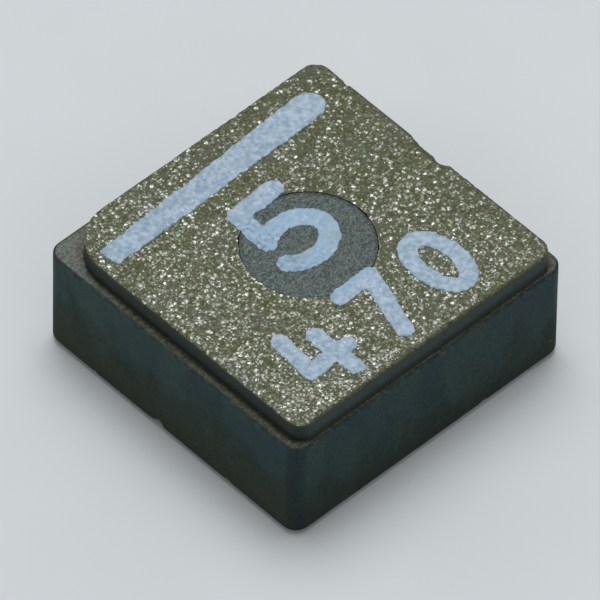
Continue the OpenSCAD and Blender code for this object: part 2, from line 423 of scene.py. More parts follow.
# %% Fill an outline with facets
def scattered(low, high, pitch, seed):
    """Points in a box, about one pitch apart, none of them in rows."""
    steps = np.ceil((np.asarray(high) - low) / pitch).astype(int)
    grid = np.stack(np.meshgrid(*[np.arange(n) for n in steps], indexing="ij"), -1)
    grid = grid.reshape(-1, 2).astype(float)
    grid[:, 0] += 0.5 * (grid[:, 1] % 2)
    shift = np.random.default_rng(seed).uniform(-0.36, 0.36, grid.shape)
    return np.asarray(low) + (grid + shift) * pitch


def inside(points, outline):
    """Which points lie inside a closed outline, by counting crossings to one side."""
    found = np.zeros(len(points), bool)
    for a, b in zip(outline, np.roll(outline, -1, axis=0)):
        crosses = (a[1] > points[:, 1]) != (b[1] > points[:, 1])
        if not crosses.any():
            continue
        at = a[0] + (points[crosses, 1] - a[1]) / (b[1] - a[1]) * (b[0] - a[0])
        hit = np.flatnonzero(crosses)
        found[hit[points[hit, 0] < at]] ^= True
    return found


def faceted_fill(outline, pitch, seed):
    """Triangles that fill an outline. The outline's own points come first."""
    shrunk = outline - 0.6 * pitch * outward(outline)
    loose = scattered(outline.min(axis=0), outline.max(axis=0), pitch, seed)
    loose = loose[inside(loose, shrunk)]
    points = np.vstack([outline, loose])
    rim = list(range(len(outline)))
    placed, _, triangles, _, _, _ = delaunay_2d_cdt(
        [Vector(p) for p in points], [], [rim], 1, 1e-6)
    placed = np.array([tuple(p) for p in placed])
    assert np.allclose(placed[:len(outline)], outline, atol=1e-5)
    return placed, np.array(triangles)


FACET_PITCH = 0.026
top_plan, top_triangles = faceted_fill(rings[-1][:, :2], FACET_PITCH, 21)
print(f"{len(top_triangles)} facets on the ground face")

# %% Heights of the ground face
FACET_HEIGHT = 0.0022
PIT_SHARE = 0.012
PIT_DEPTH = 0.010


def ground_heights(plan, seed):
    """How far each point of a ground face lies from the level of the grinding."""
    draw = np.random.default_rng(seed)
    height = FACET_HEIGHT * draw.uniform(-1, 1, len(plan))
    height += 0.0012 * flat_noise(plan, 0.25, seed + 1)
    pits = draw.uniform(0, 1, len(plan)) < PIT_SHARE
    height[pits] -= PIT_DEPTH * draw.uniform(0.3, 1, pits.sum())
    return height - FACET_HEIGHT


top_points = np.column_stack([top_plan, TOP_Z + ground_heights(top_plan, 22)])
top_points[:AROUND, 2] = rings[-1][:, 2]
print(f"ground face between {top_points[:, 2].min():.4f} and {top_points[:, 2].max():.4f}")

# %% [markdown]
# ## Join the skin and carve the hollows
#
# The wall, the ground face and a plain underside share their edge points, so the skin
# is closed. The hollows are what the press left round its insert: the bore round the
# post, the room of the coil, the seat of the flange, the ways of the leads and the
# seats of the terminals. A boolean cuts them out with copies of those forms, a seam of
# 10 micrometres larger.

# %% Build a mesh object
MATERIALS = {}


def new_piece(name, points, faces, slots, face_slots=None, smooth=None):
    """A mesh object from points in millimetres. slots are the materials' names."""
    mesh = bpy.data.meshes.new(name)
    mesh.from_pydata((np.asarray(points) * MM).tolist(), [], [list(f) for f in faces])
    piece = bpy.data.objects.new(name, mesh)
    bpy.context.scene.collection.objects.link(piece)
    for slot in slots:
        mesh.materials.append(material_called(slot))
    if face_slots is not None:
        mesh.polygons.foreach_set("material_index", np.asarray(face_slots, np.int32))
    if smooth is not None:
        mesh.polygons.foreach_set("use_smooth", np.asarray(smooth, bool))
    mesh.update()
    return piece


def material_called(name):
    """The material of that name, which gets its nodes later."""
    if name not in MATERIALS:
        MATERIALS[name] = bpy.data.materials.new(name)
    return MATERIALS[name]


def apply_modifiers(piece):
    """Gives a piece the mesh that its modifiers make."""
    scene_now = bpy.context.evaluated_depsgraph_get()
    mesh = bpy.data.meshes.new_from_object(piece.evaluated_get(scene_now))
    piece.modifiers.clear()
    piece.data = mesh


# %% The closed skin
def skin_of(rings, zones, cap_points, cap_triangles):
    """Points, faces, the material of each face and whether it is smooth."""
    points = np.vstack(rings[:-1] + [cap_points])
    faces = [list(range(AROUND))[::-1]]
    kinds = ["skin"]
    for row in range(len(rings) - 1):
        faces += strip_faces(row * AROUND, (row + 1) * AROUND, AROUND).tolist()
        kinds += [zones[row + 1]] * AROUND
    start = (len(rings) - 1) * AROUND
    faces += (cap_triangles + start).tolist()
    kinds += ["ground"] * len(cap_triangles)
    return points, faces, kinds


BODY_SLOTS = ["pressed_skin", "shoulder_face", "ground_composite"]
SLOT_OF_ZONE = {"skin": 0, "shoulder": 1, "edge": 2, "ground": 2}
points, faces, kinds = skin_of(rings, zones, top_points, top_triangles)
body = new_piece("body", points, faces, BODY_SLOTS,
                 [SLOT_OF_ZONE[kind] for kind in kinds],
                 [kind in ("skin", "shoulder") for kind in kinds])
print(f"skin: {len(points)} points, {len(faces)} faces")

# %% Cutters and the boolean
def box_cutter(name, low, high):
    """A block between two corners."""
    (x0, y0, z0), (x1, y1, z1) = low, high
    corners = [(x, y, z) for z in (z0, z1) for x, y in ((x0, y0), (x1, y0), (x1, y1), (x0, y1))]
    sides = [(0, 3, 2, 1), (4, 5, 6, 7), (0, 1, 5, 4), (1, 2, 6, 5), (2, 3, 7, 6), (3, 0, 4, 7)]
    return new_piece(name, corners, sides, ["pressed_skin"])


def stack_cutter(name, outlines, heights):
    """A closed solid lofted through outlines at rising heights."""
    count = len(outlines[0])
    points = np.vstack([ring(outline, z) for outline, z in zip(outlines, heights)])
    faces = [list(range(count))[::-1]]
    for row in range(len(outlines) - 1):
        faces += strip_faces(row * count, (row + 1) * count, count).tolist()
    faces.append(list(range((len(outlines) - 1) * count, len(outlines) * count)))
    return new_piece(name, points, faces, ["pressed_skin"])


def cut(piece, cutters):
    """Takes the cutters out of a piece, and deletes them."""
    for cutter in cutters:
        modifier = piece.modifiers.new(cutter.name, "BOOLEAN")
        modifier.operation = "DIFFERENCE"
        modifier.solver = "MANIFOLD"
        modifier.object = cutter
    apply_modifiers(piece)
    for cutter in cutters:
        bpy.data.objects.remove(cutter)


# %% Hollows of the body
def circle(radius, count=256, ragged=0.0, seed=0):
    """Points round the core's axis, with a ragged rim if asked."""
    angles = np.linspace(0, 2 * math.pi, count, endpoint=False)
    unit = np.column_stack([np.cos(angles), np.sin(angles)])
    reach = radius + ragged * np.clip(flat_noise(unit * radius, 0.04, seed), 0, None)
    return CORE_MID + unit * reach[:, None]


FLANGE_CORNER_R = 0.25


def flange_outline(margin=0.0):
    """The flange's edge, moved out by a margin."""
    half = FLANGE_HALF + margin
    return rounded_outline(CORE_MID - half, CORE_MID + half, [FLANGE_CORNER_R + margin] * 4)


wind_points = node_points("winding")
wind_low, wind_high = box_of(wind_points)
TURN_R = CORE_MID[0] - wind_low[0]
ROOM_TOP = wind_high[2] + 3 * SEAM
ROOM_R = TURN_R + 2 * SEAM
CUT_PAST = 0.05
BELOW = FOOT_Z - CUT_PAST
ABOVE = TOP_Z + CUT_PAST


def lead_block(name, across, away, heights, side):
    """A block for a lead. across and away are distances from the core's axis."""
    y0, y1 = sorted(CORE_MID[1] + side * np.array(away))
    return box_cutter(name, (across[0], y0, heights[0]), (across[1], y1, heights[1]))


LEAD_GAP = 0.04
BEND_R = 0.11
lead_points = wind_points[wind_points[:, 1] > CORE_MID[1] + TURN_R + HAIR]
toe_points = lead_points[lead_points[:, 1] > lead_points[:, 1].max() - HAIR]
STRIP_T = np.ptp(toe_points[:, 2])
WAY_X = (lead_points[:, 0].min() - 2 * SEAM, lead_points[:, 0].max() + 2 * SEAM)
WAY_IN = TURN_R + LEAD_GAP - BEND_R - 2 * SEAM
WAY_OUT = TURN_R + LEAD_GAP + STRIP_T + 2 * SEAM


def lead_ways():
    """Blocks for each lead in the body: its run, its upright part and its foot."""
    ways = []
    toe = node_points("solder_finish")[:, 1].max() - CORE_MID[1] + SEAM
    foot_low, foot_top = toe_points[:, 2].min(), toe_points[:, 2].max() + 2 * SEAM
    for side, run_low in ((-1, FLANGE_TOP + SEAM), (1, wind_high[2] - STRIP_T)):
        run = (run_low - 2 * SEAM, run_low + STRIP_T + 2 * SEAM)
        spans = (
            ((0, WAY_OUT), run),
            ((WAY_IN, WAY_OUT), (BELOW, run[1])),
            ((WAY_OUT - STRIP_T, toe), (foot_low - SEAM, foot_top)),
        )
        for part, (away, heights) in enumerate(spans):
            ways.append(lead_block(f"way_{side}_{part}", WAY_X, away, heights, side))
    return ways


def terminal_seats(tag):
    """Blocks for the terminal sheets and their ears."""
    seats = []
    for node in ("terminal_start", "terminal_finish"):
        corners = node_points(node)
        low, high = box_of(corners)
        sheet_top = corners[corners[:, 2] < (low[2] + high[2]) / 2, 2].max()
        ears = corners[corners[:, 2] > sheet_top + HAIR]
        ear_low, ear_high = box_of(ears)
        seats.append(box_cutter(f"{tag}_{node}_sheet", (low[0] - SEAM, low[1] - SEAM, BELOW),
                                (high[0] + SEAM, high[1] + SEAM, sheet_top)))
        thick = sheet_top - low[2]
        for side in (-1, 1):
            inner, outer = sorted((side * (high[0] - thick - SEAM), side * (high[0] + SEAM)))
            seats.append(box_cutter(f"{tag}_{node}_ear_{side}", (inner, ear_low[1] - SEAM, BELOW),
                                    (outer, ear_high[1] + SEAM, high[2] + SEAM)))
    return seats


RIM_GAP = 0.6 * SEAM
RIM_SHIFT = 0.3 * SEAM
RIM_RAGGED = 0.012
RIM_DEPTHS = (0.05, 0.02)


def hollows_of_body():
    """Every cutter that the body needs. The bore's rim is tight on its -X -Y side."""
    rim = circle(POST_R + RIM_GAP, 256, RIM_RAGGED, 31) + RIM_SHIFT
    return [
        stack_cutter("bore", [circle(POST_R + SEAM)] * 2 + [rim, rim],
                     [FLANGE_TOP - SEAM, TOP_Z - RIM_DEPTHS[0], TOP_Z - RIM_DEPTHS[1], ABOVE]),
        stack_cutter("coil_room", [circle(ROOM_R, 128)] * 2, [FLANGE_TOP - SEAM, ROOM_TOP]),
        stack_cutter("flange_seat", [flange_outline(SEAM)] * 2, [BELOW, FLANGE_TOP]),
    ] + lead_ways() + terminal_seats("body")


cut(body, hollows_of_body())
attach(body, "root")
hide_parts("moulded_body")
body_triangles = sum(len(p.vertices) - 2 for p in body.data.polygons)
print(f"body: {body_triangles} triangles")

# %% [markdown]
# ## The core
#
# The core is one pressed piece: a square flange with a round post. All that shows is
# the end of the post, ground in the same pass as the body, so it is flush with it. Its
# powder is finer, so its facets are smaller and lower.

# %% Build the core
POST_FACET_PITCH = 0.020


def post_rows():
    """Rings of the post from the flange to the ground end."""
    edge = 0.006
    heights = [FLANGE_TOP, TOP_Z - 0.2, TOP_Z - edge, TOP_Z - 0.001]
    radii = [POST_R, POST_R, POST_R, POST_R - edge]
    return [ring(circle(radius), z) for radius, z in zip(radii, heights)]


def build_core():
    """The flange as a block, and the post as rings that start inside it."""
    rows = post_rows()
    rows[0][:, 2] -= 0.1
    plan, triangles = faceted_fill(rows[-1][:, :2], POST_FACET_PITCH, 41)
    cap = np.column_stack([plan, TOP_Z - 0.001 + 0.45 * ground_heights(plan, 42)])
    cap[:len(rows[-1]), 2] = rows[-1][:, 2]
    count = len(rows[0])
    points = np.vstack(rows[:-1] + [cap])
    faces = [list(range(count))[::-1]]
    for row in range(len(rows) - 1):
        faces += strip_faces(row * count, (row + 1) * count, count).tolist()
    walls = len(faces)
    faces += (triangles + (len(rows) - 1) * count).tolist()
    smooth = [True] * walls + [False] * len(triangles)
    post = new_piece("core", points, faces, ["ground_core"], None, smooth)
    flange = stack_cutter("flange", [flange_outline()] * 2, [FOOT_Z, FLANGE_TOP])
    join = post.modifiers.new("flange", "BOOLEAN")
    join.operation = "UNION"
    join.solver = "MANIFOLD"
    join.object = flange
    apply_modifiers(post)
    bpy.data.objects.remove(flange)
    slots = [lead_block(f"slot_{side}", WAY_X, (WAY_IN, FLANGE_HALF + SEAM),
                        (BELOW, FLANGE_TOP + SEAM), side) for side in (-1, 1)]
    cut(post, slots + terminal_seats("core"))
    return post


core = build_core()
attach(core, "root")
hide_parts("t_core")
print(f"core: {len(core.data.polygons)} faces")

# %% [markdown]
# ## Printed ink
#
# The marks are a thin white film with rounded strokes and slightly ragged edges. Each
# stroke is a path with a width. The distance from every point of a fine grid to the
# nearest path, less half the width, says whether the point is in the ink; a little
# noise on that distance makes the edge ragged. The film itself is a sheet of that grid,
# a few micrometres thick.

# %% Distance to a stroke
INK_PITCH = 0.018
INK_HEIGHT = 0.009


def stroke_distance(points, path, widths):
    """Distance from each point to a path's edge, negative inside the stroke."""
    best = np.full(len(points), np.inf)
    widths = np.broadcast_to(widths, len(path))
    for a, b, wide_a, wide_b in zip(path[:-1], path[1:], widths[:-1], widths[1:]):
        along = b - a
        share = np.clip((points - a) @ along / (along @ along), 0, 1)
        near = a + share[:, None] * along
        half = (wide_a + (wide_b - wide_a) * share) / 2
        best = np.minimum(best, np.linalg.norm(points - near, axis=1) - half)
    return best


def ellipse_path(middle, radii, start, end, steps=40):
    """Points along part of an ellipse, with its angles in degrees."""
    angles = np.radians(np.linspace(start, end, steps))
    return np.column_stack([
        middle[0] + radii[0] * np.cos(angles),
        middle[1] + radii[1] * np.sin(angles),
    ])


# %% [markdown]
# The bar marks the start of the winding. The digits are plain figures of the kind that
# give a rating. They are drawn upright in a box of their own and then leaned and moved
# to their place.

# %% The strokes of the marks
BAR_FROM = np.array([-1.69, 1.325])
BAR_TO = np.array([1.41, 1.462])
BAR_WIDTHS = (0.29, 0.40)
DIGIT_LEAN = math.radians(2.4)
DIGIT_STROKE = 0.225

DIGITS = {
    "4": [np.array([[0.08, 0.85], [0.0, 0.29], [0.60, 0.29]]),
          np.array([[0.43, 0.64], [0.42, 0.0]])],
    "7": [np.array([[0.0, 0.85], [0.48, 0.85], [0.17, 0.0]])],
    "0": [ellipse_path((0.24, 0.425), (0.24, 0.425), 0, 360)],
    "5": [np.array([[0.74, 1.06], [0.16, 1.06], [0.10, 0.55]]),
          ellipse_path((0.38, 0.32), (0.40, 0.31), 135, -148)],
}
DIGIT_PLACES = (("4", (-1.30, -1.755)), ("7", (-0.27, -1.73)), ("0", (0.66, -1.68)))
MARK_PLACE = ("5", (-0.43, -0.27))
MARK_STROKE = 0.255


def placed(path, corner, lean):
    """A path drawn at the origin, leaned and moved to its place."""
    turn = np.array([[math.cos(lean), math.sin(lean)], [-math.sin(lean), math.cos(lean)]])
    return path @ turn + corner


# %% Film from a distance field
def ink_film(name, distance_of, low, high, seed):
    """A film over the region where distance_of is negative."""
    steps = np.ceil((np.asarray(high) - low) / INK_PITCH).astype(int)
    xs = low[0] + np.arange(steps[0]) * INK_PITCH
    ys = low[1] + np.arange(steps[1]) * INK_PITCH
    plan = np.stack(np.meshgrid(xs, ys, indexing="ij"), -1).reshape(-1, 2)

    def ragged(points):
        edge = 0.012 * flat_noise(points, 0.035, seed) + 0.009 * flat_noise(points, 0.12, seed + 1)
        return distance_of(points) + edge

    field = ragged(plan)
    step = 0.25 * INK_PITCH
    slope = np.column_stack([
        ragged(plan + [step, 0]) - ragged(plan - [step, 0]),
        ragged(plan + [0, step]) - ragged(plan - [0, step]),
    ]) / (2 * step)
    slope /= np.maximum(np.linalg.norm(slope, axis=1), 1e-9)[:, None]
    near_edge = np.abs(field) < 0.6 * INK_PITCH
    plan[near_edge] -= slope[near_edge] * field[near_edge, None]
    wet = (field < 0) | near_edge

    number = np.arange(len(plan)).reshape(steps)
    a, b, c, d = number[:-1, :-1], number[1:, :-1], number[1:, 1:], number[:-1, 1:]
    triangles = np.concatenate([
        np.stack([a, b, c], -1).reshape(-1, 3),
        np.stack([a, c, d], -1).reshape(-1, 3),
    ])
    triangles = triangles[wet[triangles].all(axis=1)]
    used, triangles = np.unique(triangles, return_inverse=True)
    triangles = triangles.reshape(-1, 3)
    return solid_film(name, plan[used], triangles, -field[used], seed)


def solid_film(name, plan, triangles, depth, seed):
    """Gives a flat set of triangles a rounded top, a floor and an edge."""
    swell = np.clip(depth / 0.03, 0, 1) ** 0.5
    height = INK_HEIGHT * (0.35 + 0.65 * swell) + 0.0012 * flat_noise(plan, 0.04, seed + 2)
    top = np.column_stack([plan, TOP_Z + height])
    floor = np.column_stack([plan, np.full(len(plan), TOP_Z - 0.006)])
    count = len(plan)
    edges = np.concatenate([triangles[:, [0, 1]], triangles[:, [1, 2]], triangles[:, [2, 0]]])
    codes = edges[:, 0] * count + edges[:, 1]
    twins = edges[:, 1] * count + edges[:, 0]
    rim = edges[~np.isin(codes, twins)]
    sides = np.column_stack([rim[:, 1], rim[:, 0], rim[:, 0] + count, rim[:, 1] + count])
    faces = triangles.tolist() + (triangles[:, ::-1] + count).tolist() + sides.tolist()
    return new_piece(name, np.vstack([top, floor]), faces, ["print_ink"],
                     None, [True] * len(triangles) * 2 + [False] * len(sides))


# %% Print the marks
def bar_distance(points):
    """The bar: a square left end and a round right end."""
    along = (BAR_TO - BAR_FROM) / np.linalg.norm(BAR_TO - BAR_FROM)
    stroke = stroke_distance(points, np.array([BAR_FROM - 0.2 * along, BAR_TO]), BAR_WIDTHS)
    left_end = (BAR_FROM - points) @ along - 0.14
    corner = np.hypot(np.clip(stroke + 0.05, 0, None), np.clip(left_end + 0.05, 0, None)) - 0.05
    return np.maximum(np.maximum(stroke, left_end), corner)


def digits_distance(points):
    """The row of figures."""
    strokes = [placed(path, corner, DIGIT_LEAN)
               for digit, corner in DIGIT_PLACES for path in DIGITS[digit]]
    return np.min([stroke_distance(points, path, DIGIT_STROKE) for path in strokes], axis=0)


def mark_distance(points):
    """The single figure over the end of the post."""
    digit, corner = MARK_PLACE
    strokes = [placed(path, corner, DIGIT_LEAN) for path in DIGITS[digit]]
    return np.min([stroke_distance(points, path, MARK_STROKE) for path in strokes], axis=0)


MARKS = (
    ("ink_bar", bar_distance, (-1.95, 1.05), (1.75, 1.75), 51),
    ("ink_rating", digits_distance, (-1.70, -2.00), (1.40, -0.60), 54),
    ("ink_figure", mark_distance, (-0.80, -0.60), (0.80, 1.10), 57),
)
for name, distance_of, low, high, seed in MARKS:
    film = ink_film(name, distance_of, low, high, seed)
    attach(film, "root")
    if name == "ink_bar":
        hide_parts("start_bar")
    print(f"{name}: {len(film.data.polygons)} faces")

# %% [markdown]
# ## Terminals
#
# The terminals are stamped from thin sheet, so their edges are a little rounded. A copy
# of each CAD node gets a fine bevel.

# %% Soften the terminals' edges
STAMPED_EDGE = 0.010


def stamped(node):
    """A terminal with rounded edges, in place of its CAD node."""
    mesh = frame["nodes"][node].data.copy()
    mesh.materials.clear()
    mesh.materials.append(material_called("tin_plating"))
    piece = bpy.data.objects.new(node + "_plated", mesh)
    bpy.context.scene.collection.objects.link(piece)
    bevel = piece.modifiers.new("edge", "BEVEL")
    bevel.width = STAMPED_EDGE * MM
    bevel.segments = 2
    bevel.limit_method = "ANGLE"
    bevel.angle_limit = math.radians(40)
    apply_modifiers(piece)
    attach(piece, "root")
    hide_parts(node)
    return piece


for node in ("terminal_start", "terminal_finish"):
    terminal = stamped(node)
    print(f"{terminal.name}: {len(terminal.data.polygons)} faces")

# %% [markdown]
# ## Materials
#
# A material is a formula from a place on the surface to a colour, a roughness and a
# tilt of the normal. Written as nodes by hand it is hard to read, so a small class
# wraps a socket: arithmetic on it adds Math nodes, and the formula reads as one.

# %% Shader sockets that take part in arithmetic
class Wire:
    """An output socket. Arithmetic on it adds Math nodes to its finish."""

    def __init__(self, finish, socket):
        self.finish = finish
        self.socket = socket

    def out(self, name):
        """Another output of the same node."""
        return Wire(self.finish, self.socket.node.outputs[name])

    def math(self, operation, *values):
        return self.finish.node("ShaderNodeMath", {"operation": operation},
                                dict(enumerate(values)))

    def __add__(self, other):
        return self.math("ADD", self, other)

    def __sub__(self, other):
        return self.math("SUBTRACT", self, other)

    def __rsub__(self, other):
        return self.math("SUBTRACT", other, self)

    def __mul__(self, other):
        return self.math("MULTIPLY", self, other)

    def __abs__(self):
        return self.math("ABSOLUTE", self)

    __radd__ = __add__
    __rmul__ = __mul__

    def larger(self, other):
        """The larger of two values."""
        return self.math("MAXIMUM", self, other)

    def root(self):
        """The square root."""
        return self.math("SQRT", self)

    def rise(self, low, high):
        """0 below low, 1 above high, and a smooth step between."""
        return self.finish.node("ShaderNodeMapRange", {"interpolation_type": "SMOOTHSTEP"},
                                {"Value": self, "From Min": low, "From Max": high})


# %% A finish
MIX_A, MIX_B, MIX_RESULT = 6, 7, 2


class Finish:
    """A material that is written as expressions on its surface's own coordinates."""

    def __init__(self, name):
        self.material = material_called(name)
        self.material.use_nodes = True
        self.tree = self.material.node_tree
        self.tree.nodes.clear()
        metres = self.node("ShaderNodeTexCoord", {}, {}, "Object")
        self.place = self.scaled(metres, 1 / MM)

    def node(self, kind, settings, inputs, out=0):
        """Adds a node: its settings first, then the values or wires of its sockets."""
        node = self.tree.nodes.new(kind)
        for name, value in settings.items():
            setattr(node, name, value)
        for name, value in inputs.items():
            if isinstance(value, Wire):
                self.tree.links.new(value.socket, node.inputs[name])
            else:
                node.inputs[name].default_value = value
        return Wire(self, node.outputs[out])

    def vector(self, operation, *values):
        """A Vector Math node."""
        return self.node("ShaderNodeVectorMath", {"operation": operation},
                         dict(enumerate(values)))

    def scaled(self, vector, factor):
        """A vector times a number."""
        return self.node("ShaderNodeVectorMath", {"operation": "SCALE"},
                         {0: vector, "Scale": factor})

    def turned(self, degrees, stretch):
        """The place on the surface, turned about Z and then stretched along its axes."""
        return self.node("ShaderNodeMapping", {"vector_type": "POINT"}, {
            "Vector": self.place,
            "Rotation": (0, 0, math.radians(degrees)),
            "Scale": stretch,
        })

    def noise(self, size, detail=2.0, at=None):
        """Noise from 0 to 1, with features about size millimetres across."""
        return self.node("ShaderNodeTexNoise", {},
                         {"Vector": at or self.place, "Scale": 1 / size, "Detail": detail})

    def cells(self, size, warp=0.0):
        """Cells about size millimetres across: their colours, and the way to their middles."""
        at = self.place
        if warp:
            shift = self.node("ShaderNodeTexNoise", {}, {
                "Vector": self.place, "Scale": 2 / size, "Detail": 1,
            }, "Color")
            shift = self.vector("SUBTRACT", shift, (0.5, 0.5, 0.5))
            at = self.vector("ADD", at, self.scaled(shift, warp * size))
        return self.node("ShaderNodeTexVoronoi", {},
                         {"Vector": at, "Scale": 1 / size}, "Color")

    def mix(self, share, first, second):
        """Blends two colours."""
        return self.node("ShaderNodeMix", {"data_type": "RGBA"},
                         {"Factor": share, MIX_A: first, MIX_B: second}, MIX_RESULT)

    def axes(self):
        """The three coordinates of the place on the surface, in millimetres."""
        split = self.node("ShaderNodeSeparateXYZ", {}, {0: self.place})
        return split, split.out("Y"), split.out("Z")

    def parts(self, colour):
        """The three numbers of a colour."""
        split = self.node("ShaderNodeSeparateColor", {}, {0: colour})
        return split, split.out("Green"), split.out("Blue")

    def tilted(self, cells, amount):
        """The surface's normal, tilted another way in each cell."""
        lean = self.vector("SUBTRACT", cells, (0.5, 0.5, 0.5))
        normal = self.node("ShaderNodeNewGeometry", {}, {}, "Normal")
        return self.vector("NORMALIZE", self.vector("ADD", normal, self.scaled(lean, amount)))

    def bump(self, height, under=None):
        """A normal for a height in millimetres."""
        inputs = {"Height": height, "Distance": MM}
        if under:
            inputs["Normal"] = under
        return self.node("ShaderNodeBump", {}, inputs)

    def surface(self, sockets):
        """Ends the material in a Principled shader with these sockets."""
        shader = self.node("ShaderNodeBsdfPrincipled", {}, sockets)
        end = self.tree.nodes.new("ShaderNodeOutputMaterial")
        self.tree.links.new(shader.socket, end.inputs["Surface"])
        print(f"{self.material.name}: {len(self.tree.nodes)} nodes")


# %% [markdown]
# ## Distance from the crown
#
# Two finishes change with the distance from the crown's edge: the ground face near its
# worn edges, and the shoulder round the foot of the wall. A painted mask could hold it,
# but a sum of the place's own coordinates follows the large corner too,
# and needs no picture.

# %% Distance from the crown
def away_from_crown(finish):
    """How far a place lies outside the crown's outline; negative inside it."""
    x, y, _ = finish.axes()
    middle = (CROWN_LOW + CROWN_HIGH) / 2
    half = (CROWN_HIGH - CROWN_LOW) / 2
    at_key = (middle[0] - x).rise(0, HAIR) * (y - middle[1]).rise(0, HAIR)
    radius = CORNER_R + (KEY_CORNER_R - CORNER_R) * at_key
    past_x = (abs(x - middle[0]) - half[0] + radius).larger(0)
    past_y = (abs(y - middle[1]) - half[1] + radius).larger(0)
    return (past_x * past_x + past_y * past_y).root() - radius


# %% [markdown]
# ## The ground composite
#
# Cut iron grains lie in an olive binder. Each grain is part of a cell of a Voronoi
# pattern, with cells about 55 and 35 micrometres across. The random colour of a cell
# decides whether it is metal at all, how pale and which tint it is, and how its cut is
# tilted, while the distance to its middle leaves a rim of binder round it. Two sizes of
# cell overlap, because powder has no single size. The grains lie thicker toward one
# corner, and patches without them show the plain binder.

# %% Finish of the ground face
GRAIN = 0.056
FINE_GRAIN = 0.034
NOTCH_Y = CROWN_MID_Y + 0.02


def ground_composite():
    """Bright grains in an olive binder, with painted glints, painted shade and a bare band along two
    worn edges.
    """
    finish = Finish("ground_composite")
    x, y, _ = finish.axes()
    inland = 0.06 * (finish.noise(0.05, 4.0) - 0.5) - away_from_crown(finish)
    band = (x - y).rise(0.0, 0.25) * (1 - inland.rise(0.015, 0.060))
    notch = x.rise(1.0, 1.1) * (1 - abs(y - NOTCH_Y).rise(0.20, 0.34)) * (1 - inland.rise(0.09, 0.14))
    bare = band.larger(notch)

    patch = finish.noise(0.22, 3.0)
    plenty = 0.54 - 0.070 * (x + y) + 1.3 * (patch - 0.5)
    coarse = finish.cells(GRAIN, 0.9)
    fine = finish.cells(FINE_GRAIN, 0.9)
    pick, shade, tint = finish.parts(coarse)
    fine_pick, fine_shade, fine_tint = finish.parts(fine)
    grain = (plenty - pick).rise(-0.08, 0.12) * (1 - coarse.out("Distance").rise(0.25, 0.60))
    fleck = (plenty - fine_pick).rise(-0.05, 0.20) * (1 - fine.out("Distance").rise(0.20, 0.60))
    # painted glints: a fine noise makes parts of each grain paler and the rest darker
    glint = finish.noise(0.028, 3.0).rise(0.34, 0.60)
    metal = (grain * (0.3 + 0.7 * shade)).larger(fleck * (0.3 + 0.7 * fine_shade))
    metal = (1 - 0.92 * bare) * metal * (0.45 + 0.55 * glint)

    binder = finish.mix(finish.noise(0.030, 4.0).rise(0.34, 0.66),
                        (0.034, 0.044, 0.012, 1), (0.135, 0.145, 0.076, 1))
    binder = finish.mix(0.8 * finish.noise(0.40, 3.0).rise(0.45, 0.70), binder,
                        (0.084, 0.090, 0.056, 1))
    moss = finish.noise(0.085, 3.0).rise(0.52, 0.66)
    binder = finish.mix(0.75 * moss, binder, (0.040, 0.050, 0.008, 1))
    rubbed = finish.mix(finish.noise(0.03, 3.0).rise(0.40, 0.60), (0.026, 0.028, 0.012, 1),
                        (0.078, 0.074, 0.030, 1))
    binder = finish.mix(0.75 * bare, binder, rubbed)
    # painted shade: a dark wedge on the binder along the -Y edge near the -X -Y corner
    shaded = (1 - x.rise(-1.8, -1.0)) * (1 - inland.rise(0.05, 0.11)) * (x - y).rise(0.1, 0.3)
    binder = finish.mix(0.85 * shaded, binder, (0.026, 0.028, 0.008, 1))
    iron = finish.mix(shade, (0.42, 0.45, 0.39, 1), (0.90, 0.93, 0.89, 1))
    iron = finish.mix(tint.rise(0.70, 0.80), iron, (0.88, 0.72, 0.74, 1))
    iron = finish.mix(1 - tint.rise(0.14, 0.24), iron, (0.60, 0.80, 0.74, 1))
    flakes = finish.mix(fine_tint, (0.44, 0.50, 0.43, 1), (0.84, 0.80, 0.80, 1))
    iron = finish.mix(fleck, iron, flakes)
    # paint the glints into the grains' colour
    iron = finish.mix(glint, (0.22, 0.24, 0.19, 1), iron)

    normal = finish.tilted(coarse, 0.25 * metal)
    finish.surface({
        "Base Color": finish.mix(metal, binder, iron),
        "Metallic": metal,
        "Roughness": 0.66 - 0.24 * metal,
        "Specular IOR Level": 0.35,
        "Normal": finish.bump(0.004 * finish.noise(0.02, 2.0), normal),
    })


ground_composite()

# %% [markdown]
# ## The end of the post
#
# The core's powder is finer and darker, and the grinding left fine scratches that run
# nearly along X. Noise stretched forty times along one axis makes such scratches; a
# wide noise leaves most of the face free of them.

